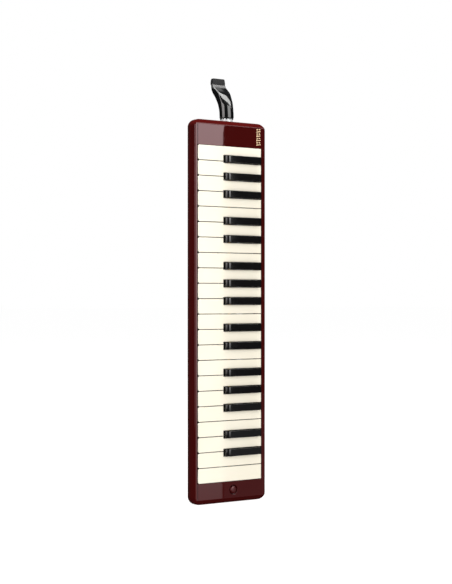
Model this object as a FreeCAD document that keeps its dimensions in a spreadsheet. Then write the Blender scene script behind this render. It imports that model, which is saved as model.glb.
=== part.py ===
"""A 37-key melodica standing on its treble end.

Millimetres. +Z runs along the instrument to the mouthpiece, the keys face -Y and the fronts of the
white keys are towards -X. The origin is the centre of the treble end, which the instrument stands on.
"Depth" is the distance below the deck, so y = deck_y + depth.
"""
import FreeCAD, Part
import math
import os
import Sketcher

Vector = FreeCAD.Vector
doc = FreeCAD.newDocument("melodica")

# ---------------------------------------------------------------- driving dimensions

SIZES = {
    # case
    "body_width": 98.0,
    "body_length": 425.0,
    "deck_y": -15.5,
    "back_depth": 31.0,
    "part_line": 8.0,
    "wall": 2.1,
    "corner_radius": 8.0,
    "deck_fillet": 1.4,
    "end_bevel_long": 5.0,
    "end_bevel_deep": 3.2,
    "bilge_radius": 19.8,
    "bilge_angle": 60.0,
    "seam": 0.1,
    "past": 1.0,
    "bite": 0.3,
    "contact": 0.05,
    # keyboard opening
    "opening_front": -46.0,
    "opening_rear": 42.7,
    "opening_bottom": 23.6,
    "opening_top": 396.7,
    "deck_line_x": -45.6,
    "deck_line_width": 0.7,
    "deck_line_depth": 0.4,
    "deck_line_inset": 5.0,
    # keys
    "white_count": 22.0,
    "key_gap": 0.7,
    "white_front": -45.4,
    "key_rear": 42.3,
    "white_proud": 0.7,
    "key_plate": 2.0,
    "white_corner": 2.0,
    "skirt_depth": 7.5,
    "skirt_inset": 0.2,
    "skirt_thick": 1.8,
    "black_width": 7.8,
    "black_front": -9.7,
    "black_proud": 6.7,
    "black_round": 4.5,
    "black_rear": 38.2,
    "notch_side_gap": 0.55,
    "notch_front_gap": 1.1,
    "lever_width": 5.0,
    "lever_inset": 1.0,
    "lever_tail": 37.5,
    "arm_depth": 6.0,
    "hub_depth": 8.2,
    "hub_half": 4.5,
    "hub_ramp": 2.0,
    "tail_depth": 6.6,
    # axle and key springs
    "axle_x": 14.0,
    "axle_depth": 5.0,
    "axle_radius": 1.25,
    "axle_clearance": 0.05,
    "axle_end_gap": 0.4,
    "bracket_thick": 1.4,
    "bracket_half": 4.0,
    "bracket_rise": 2.6,
    "bracket_fit": 0.02,
    "leaf_thick": 0.35,
    "leaf_wide": 2.4,
    "leaf_root": 6.0,
    "leaf_bend": 2.0,
    "leaf_tip": -9.0,
    "leaf_gap": 0.2,
    # felt under the key fronts, and its ledge
    "felt_depth": 12.35,
    "felt_front": -45.4,
    "felt_rear": -38.0,
    "ledge_depth": 13.6,
    "ledge_thick": 1.2,
    "ledge_front": -47.4,
    "ledge_rear": -36.0,
    "ledge_foot": 25.0,
    "ledge_end_gap": 2.0,
    # pallets, board and wind chamber
    "pad_x": 30.0,
    "pad_long": 12.0,
    "pad_wide": 7.4,
    "board_top": 9.0,
    "board_thick": 3.4,
    "board_front": -8.0,
    "board_rear": 38.5,
    "chamber_front": -3.0,
    "chamber_rear": 37.0,
    "chamber_floor": 22.5,
    "chamber_wall": 1.6,
    "chamber_bottom": 25.2,
    "chamber_top": 397.7,
    "sump_bottom": 5.5,
    "sump_rear": 12.0,
    "gasket_thick": 0.6,
    "cell_front": 4.0,
    "cell_rear": 34.0,
    "cell_wide": 5.4,
    "cell_deep": 2.2,
    "hole_wide": 4.0,
    "hole_long": 8.0,
    "plate_margin": 0.6,
    "reed_plate_thick": 1.2,
    "reed_thick": 0.3,
    "reed_wide": 2.2,
    "bass_reed": 24.0,
    "treble_reed": 12.0,
    "reed_root_x": 6.0,
    "reed_root": 1.6,
    "slot_start": 2.4,
    "slot_gap": 0.15,
    "rivet_radius": 0.9,
    "rivet_height": 0.5,
    # posts and screws that hold the board
    "post_inset": 2.2,
    "post_radius": 2.4,
    "post_foot": 29.5,
    "post_pilot": 0.9,
    "post_screw_tip": 19.0,
    "post_pilot_tip": 20.0,
    "post_screw_head": 1.8,
    "post_screw_head_thick": 1.1,
    "board_hole": 1.1,
    # wind inlet and mouthpiece
    "inlet_x": 7.2,
    "inlet_depth": 17.5,
    "collar_radius": 6.75,
    "collar_height": 4.6,
    "flange_radius": 6.5,
    "flange_thick": 2.3,
    "seal_radius": 6.4,
    "seal_thick": 2.0,
    "nozzle_wall": 1.0,
    "nozzle_bore": 3.0,
    "nozzle_reach": 1.5,
    "spigot_end_gap": 0.8,
    "socket_radius": 5.5,
    "spigot_radius": 4.6,
    "spigot_clearance": 0.05,
    "spigot_length": 24.0,
    "tube_radius": 8.0,
    "tube_base": 430.6,
    "tube_bore": 3.4,
    "blade_width": 17.6,
    "blade_thick": 4.4,
    "blade_offset": 14.4,
    "blade_skin": 0.9,
    "breath_half": 5.5,
    "mouthpiece_top": 476.5,
    "tip_height": 7.4,
    "tip_overhang": 0.3,
    # drain valve
    "button_x": 3.6,
    "button_z": 14.0,
    "button_radius": 4.4,
    "button_gap": 0.3,
    "button_proud": 0.8,
    "button_depth": 3.8,
    "recess_radius": 5.5,
    "recess_depth": 1.8,
    "guide_wall": 1.4,
    "guide_depth": 4.6,
    "stem_radius": 1.5,
    "stem_head": 2.3,
    "stem_head_thick": 0.6,
    "disc_radius": 4.4,
    "disc_thick": 1.2,
    "disc_gap": 0.1,
    "disc_fit": 0.02,
    "drain_radius": 3.0,
    "drain_leaf_thick": 0.4,
    "drain_leaf_half": 2.5,
    "drain_leaf_low": 10.0,
    "drain_leaf_flat": 6.0,
    "drain_leaf_bend": 30.0,
    "drain_leaf_end": 40.0,
    # strap
    "strap_width": 28.0,
    "strap_thick": 2.0,
    "strap_low": 140.0,
    "strap_high": 290.0,
    "strap_rise": 11.0,
    "strap_ramp": 24.0,
    "anchor_long": 16.0,
    "anchor_plate_long": 12.0,
    "anchor_plate_thick": 1.55,
    "anchor_plate_extra": 1.0,
    "strap_screw_x": 7.0,
    "strap_screw_radius": 1.15,
    "strap_screw_head_thick": 1.4,
    "strap_screw_long": 5.6,
    "strap_pilot": 1.2,
    "strap_hole": 1.6,
    "strap_fold": 0.5,
    # screws
    "screw_x": 34.0,
    "screw_low": 12.0,
    "screw_high": 411.0,
    "screw_radius": 1.5,
    "screw_head": 2.8,
    "screw_tip": 4.0,
    "screw_head_top": 18.2,
    "screw_head_under": 20.0,
    "upper_boss": 3.4,
    "upper_pilot_tip": 3.5,
    "lower_boss": 4.4,
    "boss_gap": 0.5,
    "boss_foot": 25.2,
    "well_gap": 0.3,
}

# distance of each black key's centre from the gap between its white neighbours, towards the treble end
BLACK_OFFSETS = {1: -2.6, 2: 0.0, 3: 2.6, 5: -1.7, 6: 1.5}
WHITE_COUNT = 22
WHITES_PER_OCTAVE = 7

sheet = doc.addObject("Spreadsheet::Sheet", "size")
for row, (alias, number) in enumerate(SIZES.items(), start=1):
    sheet.set(f"A{row}", alias.replace("_", " "))
    sheet.set(f"B{row}", str(number))
    sheet.setAlias(f"B{row}", alias)
doc.recompute()


def value(expression):
    """The number that an expression over the sheet stands for."""
    return float(sheet.evalExpression(str(expression)))


def deep(expression):
    """The row's y at a depth below the deck."""
    return f"size.deck_y + ({expression})"


# ---------------------------------------------------------------- shapes shared by the parts

PLANES = {"x": "YZ_Plane", "y": "XZ_Plane", "z": "XY_Plane"}


def outline(body, axis, corners, holes):
    """A closed sketch square to an axis of the row.

    A corner is (across, up), or (across, up, radius) where an arc leads on to the next corner, turning
    anticlockwise in the sketch. A hole is (across, up, radius).
    """
    sketch = body.newObject("Sketcher::SketchObject", f"{body.Name}_outline")
    plane = next(p for p in body.Origin.OriginFeatures if p.Role == PLANES[axis])
    sketch.AttachmentSupport = [(plane, "")]
    sketch.MapMode = "FlatFace"
    spots = [Vector(value(c[0]), value(c[1]), 0) for c in corners]
    for place, corner in enumerate(corners):
        start, end = spots[place], spots[(place + 1) % len(spots)]
        if len(corner) == 2:
            sketch.addGeometry(Part.LineSegment(start, end), False)
            continue
        chord, radius = end - start, value(corner[2])
        left = Vector(-chord.y, chord.x, 0).normalize()
        centre = (start + end) / 2 + left * math.sqrt(max(radius**2 - chord.Length**2 / 4, 0))
        turns = [math.atan2(p.y - centre.y, p.x - centre.x) for p in (start, end)]
        circle = Part.Circle(centre, Vector(0, 0, 1), radius)
        sketch.addGeometry(Part.ArcOfCircle(circle, *turns), False)
    for place in range(len(corners)):
        sketch.addConstraint(Sketcher.Constraint("Coincident", place, 2, (place + 1) % len(corners), 1))
    for place, corner in enumerate(corners):
        for kind, wanted in zip(("DistanceX", "DistanceY"), corner):
            bound = sketch.addConstraint(Sketcher.Constraint(kind, -1, 1, place, 1, value(wanted)))
            sketch.setExpression(f"Constraints[{bound}]", str(wanted))
        if len(corner) == 3:
            bound = sketch.addConstraint(Sketcher.Constraint("Radius", place, value(corner[2])))
            sketch.setExpression(f"Constraints[{bound}]", str(corner[2]))
    for across, up, radius in holes:
        centre = Vector(value(across), value(up), 0)
        hole = sketch.addGeometry(Part.Circle(centre, Vector(0, 0, 1), value(radius)), False)
        for kind, wanted in (("DistanceX", across), ("DistanceY", up)):
            bound = sketch.addConstraint(Sketcher.Constraint(kind, -1, 1, hole, 3, value(wanted)))
            sketch.setExpression(f"Constraints[{bound}]", str(wanted))
        bound = sketch.addConstraint(Sketcher.Constraint("Radius", hole, value(radius)))
        sketch.setExpression(f"Constraints[{bound}]", str(radius))
    return sketch


def extrusion(name, axis, corners, low, high, holes=()):
    """A body with one outline padded along a row axis from low to high.

    Square to y the outline is (x, z), square to z it is (x, y) and square to x it is (y, z).
    """
    body = doc.addObject("PartDesign::Body", name)
    pad = body.newObject("PartDesign::Pad", f"{name}_pad")
    pad.Profile = outline(body, axis, corners, holes)
    pad.setExpression("Length", f"({high}) - ({low})")
    pad.Reversed = axis == "y"
    body.setExpression(f"Placement.Base.{axis}", str(low))
    return body


def box(name, x, y, z):
    """A box between (low, high) pairs of expressions along each axis."""
    solid = doc.addObject("Part::Box", name)
    for side, axis, (low, high) in zip(("Length", "Width", "Height"), "xyz", (x, y, z)):
        solid.setExpression(side, f"({high}) - ({low})")
        solid.setExpression(f"Placement.Base.{axis}", str(low))
    return solid


TURNS = {
    "x": FreeCAD.Rotation(Vector(0, 1, 0), 90),
    "y": FreeCAD.Rotation(Vector(1, 0, 0), -90),
    "z": FreeCAD.Rotation(),
}


def rod(name, axis, centre, radius, low, high):
    """A cylinder along a row axis; centre is its place along the other two axes, in order."""
    solid = doc.addObject("Part::Cylinder", name)
    solid.Placement = FreeCAD.Placement(Vector(), TURNS[axis])
    solid.setExpression("Radius", str(radius))
    solid.setExpression("Height", f"({high}) - ({low})")
    for other, place in zip((a for a in "xyz" if a != axis), centre):
        solid.setExpression(f"Placement.Base.{other}", str(place))
    solid.setExpression(f"Placement.Base.{axis}", str(low))
    return solid


def rods(name, spots, radius, low, high):
    """Equal cylinders along y at several (x, z) spots."""
    return [rod(f"{name}_{n}", "y", spot, radius, low, high) for n, spot in enumerate(spots)]


def together(kind, name, members):
    """One object made of several: kind is Part::MultiFuse or Part::Compound."""
    made = doc.addObject(kind, name)
    setattr(made, "Shapes" if kind == "Part::MultiFuse" else "Links", members)
    return made


def fuse(name, members):
    return together("Part::MultiFuse", name, members)


def group(name, members):
    return together("Part::Compound", name, members)


def cut(name, base, tool):
    made = doc.addObject("Part::Cut", name)
    made.Base = base
    made.Tool = tool
    return made


def rectangle(x, z):
    """The corners of a rectangle between (low, high) pairs."""
    return [(x[0], z[0]), (x[1], z[0]), (x[1], z[1]), (x[0], z[1])]


def rounded_rectangle(x, z, radius):
    """A rectangle whose four corners are arcs, anticlockwise."""
    low_x, high_x, low_z, high_z = x[0], x[1], z[0], z[1]
    return [
        (f"{low_x} + {radius}", low_z),
        (f"{high_x} - ({radius})", low_z, radius),
        (high_x, f"{low_z} + {radius}"),
        (high_x, f"{high_z} - ({radius})", radius),
        (f"{high_x} - ({radius})", high_z),
        (f"{low_x} + {radius}", high_z, radius),
        (low_x, f"{high_z} - ({radius})"),
        (low_x, f"{low_z} + {radius}", radius),
    ]


finished = []


def finish(label, made):
    """Names a finished sub-part; the label is also its file's name."""
    made.Label = label
    finished.append(made)


# ---------------------------------------------------------------- keyboard layout

PITCH = "(size.opening_top - size.opening_bottom) / size.white_count"


def gap_z(number):
    """Middle of the gap above white key `number`, counted from the bass end."""
    return f"size.opening_top - {number} * {PITCH}"


def black_offset(gap):
    """The offset of the black key at a white gap, or None where there is none."""
    place = gap % WHITES_PER_OCTAVE
    return BLACK_OFFSETS.get(place) if 0 < gap < WHITE_COUNT else None


def black_z(gap):
    return f"{gap_z(gap)} - ({black_offset(gap)})"


NOTCH = "(size.black_width / 2 + size.notch_side_gap)"


def white_sides(number, behind_notches):
    """The low and high z of a white key, at its front or behind its notches for the black keys."""
    high = f"{gap_z(number)} - size.key_gap / 2"
    low = f"{gap_z(number + 1)} + size.key_gap / 2"
    if behind_notches and black_offset(number) is not None:
        high = f"{black_z(number)} - {NOTCH}"
    if behind_notches and black_offset(number + 1) is not None:
        low = f"{black_z(number + 1)} + {NOTCH}"
    return low, high


def lever_z(kind, number):
    """The z of a key's lever: a black key's middle, or the middle of a white key's narrow part."""
    if kind == "black":
        return black_z(number)
    low, high = white_sides(number, True)
    return f"(({low}) + ({high})) / 2"


KEYS = []
for white in range(WHITE_COUNT):
    if black_offset(white) is not None:
        KEYS.append(("black", white))
    KEYS.append(("white", white))
LEVERS = [lever_z(kind, number) for kind, number in KEYS]
BETWEEN_LEVERS = [f"(({a}) + ({b})) / 2" for a, b in zip(LEVERS, LEVERS[1:])]


# ---------------------------------------------------------------- keys


def lever(name, front, middle):
    """The arm under a key, with the axle bore through its hub."""
    top = deep("size.key_plate - size.white_proud - size.bite")
    corners = [
        (front, deep("size.arm_depth")),
        (front, top),
        ("size.lever_tail", top),
        ("size.lever_tail", deep("size.tail_depth")),
        ("size.axle_x + size.hub_half + size.hub_ramp", deep("size.tail_depth")),
        ("size.axle_x + size.hub_half", deep("size.hub_depth")),
        ("size.axle_x - size.hub_half", deep("size.hub_depth")),
        ("size.axle_x - size.hub_half - size.hub_ramp", deep("size.arm_depth")),
    ]
    bore = ("size.axle_x", deep("size.axle_depth"), "size.axle_radius + size.axle_clearance")
    low, high = f"{middle} - size.lever_width / 2", f"{middle} + size.lever_width / 2"
    return extrusion(name, "z", corners[::-1], low, high, [bore])


def distance(corner, other):
    """How far apart two corners of an outline are."""
    return math.hypot(value(corner[0]) - value(other[0]), value(corner[1]) - value(other[1]))


def pad(name, middle):
    """The soft pallet under the tail that closes the key's hole in the board."""
    x = ("size.pad_x - size.pad_long / 2", "size.pad_x + size.pad_long / 2")
    z = (f"{middle} - size.pad_wide / 2", f"{middle} + size.pad_wide / 2")
    return box(name, x, (deep("size.tail_depth"), deep("size.board_top - size.contact")), z)


def white_plate(name, number):
    """The top of a white key, rounded at its two front corners and notched for the black keys."""
    front_low, front_high = white_sides(number, False)
    rear_low, rear_high = white_sides(number, True)
    notch_x = "size.black_front - size.notch_front_gap"
    corners = [
        ("size.white_front + size.white_corner", front_low),
        (notch_x, front_low),
        (notch_x, rear_low),
        ("size.key_rear", rear_low),
        ("size.key_rear", rear_high),
        (notch_x, rear_high),
        (notch_x, front_high),
        ("size.white_front + size.white_corner", front_high, "size.white_corner"),
        ("size.white_front", f"{front_high} - size.white_corner"),
        ("size.white_front", f"{front_low} + size.white_corner", "size.white_corner"),
    ]
    kept = [corner for place, corner in enumerate(corners) if distance(corner, corners[place - 1]) > 1e-6]
    return extrusion(name, "y", kept, deep("-size.white_proud"), deep("size.key_plate - size.white_proud"))


def white_key(number, label, middle):
    """A notched plate with a skirt under its front, on a lever with a pad under its tail."""
    low, high = white_sides(number, False)
    skirt_front = "size.white_front + size.skirt_inset"
    skirt = box(
        f"{label}_skirt",
        (skirt_front, f"{skirt_front} + size.skirt_thick"),
        (deep("0"), deep("size.skirt_depth")),
        (f"{low} + size.white_corner", f"{high} - size.white_corner"),
    )
    plate = white_plate(f"{label}_plate", number)
    arm = lever(f"{label}_lever", "size.white_front + size.lever_inset", middle)
    body = fuse(f"{label}_body", [plate, skirt, arm])
    finish(label, group(f"{label}_key", [body, pad(f"{label}_pad", middle)]))


def black_key(label, middle):
    """A raised block with a rounded front and a low plate behind it, on a lever with a pad."""
    side = [
        ("size.black_front", deep("size.key_plate - size.white_proud")),
        ("size.black_front", deep("size.black_round - size.black_proud")),
        ("size.black_front + size.black_round", deep("-size.black_proud")),
        ("size.black_rear", deep("-size.black_proud")),
        ("size.black_rear", deep("-size.white_proud")),
        ("size.key_rear", deep("-size.white_proud")),
        ("size.key_rear", deep("size.key_plate - size.white_proud")),
    ]
    half = "size.black_width / 2"
    corners = [(*corner, "size.black_round") if corner is side[1] else corner for corner in side]
    block = extrusion(f"{label}_block", "z", corners, f"{middle} - {half}", f"{middle} + {half}")
    arm = lever(f"{label}_lever", "size.black_front + size.lever_inset", middle)
    body = fuse(f"{label}_body", [block, arm])
    finish(label, group(f"{label}_key", [body, pad(f"{label}_pad", middle)]))


def make_keys():
    for place, (kind, number) in enumerate(KEYS):
        if kind == "white":
            white_key(number, f"white_key_{number + 1:02d}", LEVERS[place])
        else:
            black_key(f"black_key_{number:02d}", LEVERS[place])


# ---------------------------------------------------------------- case

BODY_X = ("-size.body_width / 2", "size.body_width / 2")
BODY_Z = ("0", "size.body_length")
OPENING_Z = ("size.opening_bottom", "size.opening_top")
BUTTON = ("size.button_x", "size.button_z")
SCREW_ROWS = ("size.screw_low", "size.screw_high")
SCREW_SPOTS = [(x, z) for x in ("-size.screw_x", "size.screw_x") for z in SCREW_ROWS]


def rounded(name, body, radius, wanted):
    """A Part::Fillet over the edges that `wanted` picks."""
    doc.recompute()
    made = doc.addObject("Part::Fillet", name)
    made.Base = body
    amount = value(radius)
    made.Edges = [(n, amount, amount) for n, e in enumerate(body.Shape.Edges, start=1) if wanted(e)]
    return made


def inset_pair(pair, amount):
    return f"{pair[0]} + ({amount})", f"{pair[1]} - ({amount})"


def upper_case():
    """The deck with its side walls, open over the keyboard, with the drain button's recess and guide."""
    corners = rounded_rectangle(BODY_X, BODY_Z, "size.corner_radius")
    rim = deep("size.part_line - size.seam")
    block = extrusion("upper_block", "y", corners, deep("0"), rim)
    bevel_depth = deep("size.end_bevel_deep")
    end_profile = [
        (deep("0"), "size.end_bevel_long"),
        (bevel_depth, "0"),
        (rim, "0"),
        (rim, "size.body_length"),
        (bevel_depth, "size.body_length"),
        (deep("0"), "size.body_length - size.end_bevel_long"),
    ]
    bevelled = doc.addObject("Part::Common", "upper_bevelled")
    bevelled.Base = block
    bevelled.Tool = extrusion("upper_profile", "x", end_profile, *BODY_X)
    bevel_foot = value(bevel_depth) + 0.01
    smooth = rounded("upper_smooth", bevelled, "size.deck_fillet", lambda e: e.BoundBox.YMax < bevel_foot)
    inner_corners = rounded_rectangle(
        inset_pair(BODY_X, "size.wall"), inset_pair(BODY_Z, "size.wall"), "(size.corner_radius - size.wall)"
    )
    inside = extrusion(
        "upper_inside", "y", inner_corners, deep("size.wall"), deep("size.part_line + size.past")
    )
    opening = box(
        "keyboard_opening",
        ("size.opening_front", "size.opening_rear"),
        (deep("-size.past"), deep("size.wall + size.past")),
        OPENING_Z,
    )
    line_x = ("size.deck_line_x - size.deck_line_width / 2", "size.deck_line_x + size.deck_line_width / 2")
    line_y = (deep("-size.past"), deep("size.deck_line_depth"))
    inset = "size.deck_line_inset"
    lines = [
        box("treble_line", line_x, line_y, (inset, "size.opening_bottom + size.past")),
        box("bass_line", line_x, line_y, ("size.opening_top - size.past", f"size.body_length - {inset}")),
    ]
    low = deep("-size.past")
    recess = rod("button_recess", "y", BUTTON, "size.recess_radius", low, deep("size.recess_depth"))
    passage_radius = "size.button_radius + size.button_gap"
    passage = rod("button_passage", "y", BUTTON, passage_radius, low, deep("size.guide_depth + size.past"))
    guide_radius = "size.recess_radius + size.guide_wall"
    under_deck = deep("size.wall - size.bite")
    guide = rod("button_guide", "y", BUTTON, guide_radius, under_deck, deep("size.guide_depth"))
    shell = cut("upper_shell", smooth, group("upper_cuts", [inside, opening, *lines]))
    boss_end = deep("size.part_line + size.bite")
    bosses = rods("upper_boss", SCREW_SPOTS, "size.upper_boss", under_deck, boss_end)
    pilot_y = (deep("size.upper_pilot_tip"), f"{boss_end} + size.past")
    pilots = rods("upper_pilot", SCREW_SPOTS, "size.screw_radius", *pilot_y)
    solid = fuse("upper_solid", [shell, guide, *bosses])
    finish("upper_case", cut("upper_case", solid, group("upper_holes", [recess, passage, *pilots])))


def hull_block(name, inset):
    """The boat-shaped space below the parting line, `inset` mm inside the outer surface."""
    half = f"(size.body_width / 2 - {inset})"
    bilge = "size.bilge_radius"
    sine, cosine = "sin(size.bilge_angle * 1 deg)", "cos(size.bilge_angle * 1 deg)"
    bilge_drop = f"{bilge} * {sine}"
    back = f"((size.back_depth - size.part_line - {bilge_drop}) / (1 - {sine}))"
    bilge_x = f"(size.body_width / 2 - {bilge})"
    back_x = f"({bilge_x} + ({bilge} - {back}) * {cosine})"
    turn_x = f"({bilge_x} + ({bilge} - {inset}) * {cosine})"
    rim = deep("size.part_line")
    turn_y = deep(f"size.part_line + ({bilge} - {inset}) * {sine}")
    back_y = deep(f"size.back_depth - {inset}")
    small, large = f"{bilge} - {inset}", f"{back} - {inset}"
    corners = [
        (half, rim, small),
        (turn_x, turn_y, large),
        (back_x, back_y),
        (f"-{back_x}", back_y, large),
        (f"-{turn_x}", turn_y, small),
        (f"-{half}", rim),
    ]
    block = extrusion(f"{name}_block", "z", corners, str(inset), f"size.body_length - {inset}")
    low, high = value(inset), value(f"size.body_length - {inset}")
    rim_y = value(rim)

    def on_end(edge):
        box_ = edge.BoundBox
        flat = box_.ZLength < 0.01 and min(abs(box_.ZMin - low), abs(box_.ZMin - high)) < 0.01
        return flat and box_.YMax > rim_y + 0.01

    return rounded(name, block, f"size.corner_radius - {inset}", on_end)


POST_PLACES = (0, 9, 18, 27, 35)


def post_spots():
    """Where the board is screwed to the posts of the lower case: between levers, along its front edge."""
    return [("size.board_front + size.post_inset", BETWEEN_LEVERS[place]) for place in POST_PLACES]


def felt_ledge():
    """The shelf inside the front wall that carries the felt, with a web down to the bilge."""
    top, under = deep("size.ledge_depth"), deep("size.ledge_depth + size.ledge_thick")
    foot = "size.ledge_foot"
    inner = "size.ledge_rear - size.ledge_thick"
    corners = [
        ("size.ledge_front", top),
        ("size.ledge_rear", top),
        ("size.ledge_rear", deep(foot)),
        (inner, deep(f"{foot} - size.ledge_thick / 2")),
        (inner, under),
        ("size.ledge_front + size.ledge_thick", under),
    ]
    return extrusion("key_ledge", "z", corners, *inset_pair(OPENING_Z, "size.ledge_end_gap"))


def lower_case():
    """The back shell, with the ledge for the key felt, the posts for the board and the inlet hole."""
    shell = cut("lower_shell", hull_block("lower_outside", "0"), hull_block("lower_inside", "size.wall"))
    post_top = deep("size.board_top + size.board_thick + size.contact")
    posts = rods("post", post_spots(), "size.post_radius", post_top, deep("size.post_foot"))
    well_floor = deep("size.screw_head_top")
    boss_top, boss_foot = deep("size.part_line + size.boss_gap"), deep("size.boss_foot")
    bosses = rods("lower_boss", SCREW_SPOTS, "size.lower_boss", boss_top, boss_foot)
    solid = fuse("lower_solid", [shell, felt_ledge(), *posts, *bosses])
    past_back = deep("size.back_depth + size.past")
    hole_radius = "size.screw_radius + size.seam"
    holes = rods("lower_hole", SCREW_SPOTS, hole_radius, deep("size.part_line - size.past"), past_back)
    well_radius = "size.screw_head + size.well_gap"
    wells = rods("lower_well", SCREW_SPOTS, well_radius, well_floor, past_back)
    pilot_y = (deep("size.board_top"), deep("size.post_pilot_tip"))
    pilots = rods("post_pilot", post_spots(), "size.post_pilot", *pilot_y)
    end_wall = ("size.body_length - size.wall - size.past", "size.body_length + size.past")
    inlet = rod("inlet_hole", "z", INLET, "size.socket_radius + size.seam", *end_wall)
    strap_y = (deep("size.back_depth - size.wall - size.past"), past_back)
    strap_holes = rods("strap_pilot", strap_screw_spots(), "size.strap_pilot", *strap_y)
    cuts = group("lower_cuts", [*holes, *wells, *pilots, inlet, *strap_holes])
    finish("lower_case", cut("lower_case", solid, cuts))


# ---------------------------------------------------------------- inlet and mouthpiece

INLET = ("size.inlet_x", deep("size.inlet_depth"))
COLLAR_TOP = "size.body_length + size.collar_height"
SOCKET_SHOULDER = "size.chamber_top + size.seal_thick"
NOZZLE_RADIUS = "(size.nozzle_bore + size.nozzle_wall)"
SPIGOT_END = "size.tube_base - size.spigot_length"


def inlet_socket():
    """A collar and tube for the mouthpiece's spigot, with a nozzle through the seal into the chamber."""
    flange_top = "size.body_length - size.wall - size.seam"
    flange_z = (f"{flange_top} - size.flange_thick", flange_top)
    nozzle = ("size.chamber_top - size.nozzle_reach", f"{SOCKET_SHOULDER} + size.past")
    outside = fuse(
        "socket_outside",
        [
            rod("collar", "z", INLET, "size.collar_radius", "size.body_length", COLLAR_TOP),
            rod("socket_tube", "z", INLET, "size.socket_radius", SOCKET_SHOULDER, COLLAR_TOP),
            rod("socket_flange", "z", INLET, "size.flange_radius", *flange_z),
            rod("socket_nozzle", "z", INLET, NOZZLE_RADIUS, *nozzle),
        ],
    )
    bore_end = f"{SPIGOT_END} - size.spigot_end_gap"
    bore_radius = "size.spigot_radius + size.spigot_clearance"
    bore = rod("socket_bore", "z", INLET, bore_radius, bore_end, f"{COLLAR_TOP} + size.past")
    passage_z = (f"{nozzle[0]} - size.past", f"{bore_end} + size.past")
    passage = rod("nozzle_passage", "z", INLET, "size.nozzle_bore", *passage_z)
    finish("inlet_socket", cut("inlet_socket", outside, group("socket_bores", [bore, passage])))


def inlet_seal():
    """A rubber ring squeezed between the socket's shoulder and the chamber's end."""
    ring_z = ("size.chamber_top + size.seam", f"{SOCKET_SHOULDER} - size.seam")
    ring = rod("seal_ring", "z", INLET, "size.seal_radius", *ring_z)
    hole_z = ("size.chamber_top - size.past", f"{SOCKET_SHOULDER} + size.past")
    hole = rod("seal_hole", "z", INLET, f"{NOZZLE_RADIUS} + size.contact", *hole_z)
    finish("inlet_seal", cut("inlet_seal", ring, hole))


def mouthpiece():
    """A spigot and round tube whose front slopes back to a flat blade behind the tube."""
    axis_y = INLET[1]
    front, rear = f"{axis_y} - size.tube_radius", f"{axis_y} + size.tube_radius"
    blade_front = f"{axis_y} + size.blade_offset"
    blade_rear = f"{blade_front} + size.blade_thick"
    base = "size.tube_base"
    tip_z = "size.mouthpiece_top - size.tip_height"
    side = [
        (front, base),
        (rear, base),
        (rear, f"{base} + 8"),
        (f"{rear} + 3", f"{base} + 16"),
        (f"{rear} + 8", f"{base} + 27"),
        (blade_rear, f"{base} + 34"),
        (blade_rear, tip_z),
        (blade_front, tip_z),
        (blade_front, f"{base} + 37"),
        (f"{axis_y} + 3", f"{base} + 29"),
        (f"{axis_y} - 1.5", f"{base} + 20"),
        (front, f"{base} + 11"),
    ]
    half, tube = "size.blade_width / 2", "size.tube_radius"
    slab = extrusion("neck_slab", "x", side, f"size.inlet_x - {half}", f"size.inlet_x + {half}")
    plan = [
        (f"size.inlet_x - {tube}", axis_y),
        (f"size.inlet_x + {tube}", axis_y),
        (f"size.inlet_x + {half}", blade_rear),
        (f"size.inlet_x - {half}", blade_rear),
    ]
    behind = extrusion("neck_behind", "z", plan, base, "size.mouthpiece_top")
    column = fuse("neck_column", [behind, rod("neck_front", "z", INLET, tube, base, "size.mouthpiece_top")])
    neck = doc.addObject("Part::Common", "neck")
    neck.Base = slab
    neck.Tool = column
    round_z = (f"{base} - size.past", f"{base} + 8")
    square_x = (f"size.inlet_x - {tube} - size.past", f"size.inlet_x + {tube} + size.past")
    square = box("tube_square", square_x, (axis_y, f"{rear} + size.past"), round_z)
    corners = cut("tube_corners", square, rod("tube_round", "z", INLET, tube, *round_z))
    spigot = rod("spigot", "z", INLET, "size.spigot_radius", SPIGOT_END, f"{base} + size.past")
    outside = fuse("mouthpiece_outside", [cut("shaped_neck", neck, corners), spigot])
    bore = rod("mouthpiece_bore", "z", INLET, "size.tube_bore", f"{SPIGOT_END} - size.past", f"{base} + 9")
    skin = "size.blade_skin"
    wind_side = [
        (f"{axis_y} - 3", f"{base} + 5"),
        (f"{axis_y} + 3.4", f"{base} + 5"),
        (f"{rear} + 1", f"{base} + 16"),
        (f"{rear} + 6", f"{base} + 27"),
        (f"{blade_rear} - {skin}", f"{base} + 35"),
        (f"{blade_rear} - {skin}", "size.mouthpiece_top + size.past"),
        (f"{blade_front} + {skin}", "size.mouthpiece_top + size.past"),
        (f"{blade_front} + {skin}", f"{base} + 37.5"),
        (f"{axis_y} + 5", f"{base} + 30"),
        (f"{axis_y} + 1", f"{base} + 21"),
        (f"{axis_y} - 3", f"{base} + 16"),
    ]
    breath_x = ("size.inlet_x - size.breath_half", "size.inlet_x + size.breath_half")
    wind = extrusion("wind_way", "x", wind_side, *breath_x)
    finish("mouthpiece", cut("mouthpiece", outside, group("mouthpiece_ways", [bore, wind])))
    tip_x = (f"size.inlet_x - {half}", f"size.inlet_x + {half}")
    tip_y = (f"{blade_front} - size.tip_overhang", f"{blade_rear} + size.tip_overhang")
    tip = box("tip_block", tip_x, tip_y, (tip_z, "size.mouthpiece_top"))
    slot_y = (f"{blade_front} + {skin}", f"{blade_rear} - {skin}")
    slot_z = (f"{tip_z} - size.past", "size.mouthpiece_top + size.past")
    finish("mouthpiece_tip", cut("mouthpiece_tip", tip, box("tip_slot", breath_x, slot_y, slot_z)))


# ---------------------------------------------------------------- wind chamber and reeds

BOARD_UNDER = "(size.board_top + size.board_thick)"
RIM = f"({BOARD_UNDER} + size.gasket_thick)"


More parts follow.
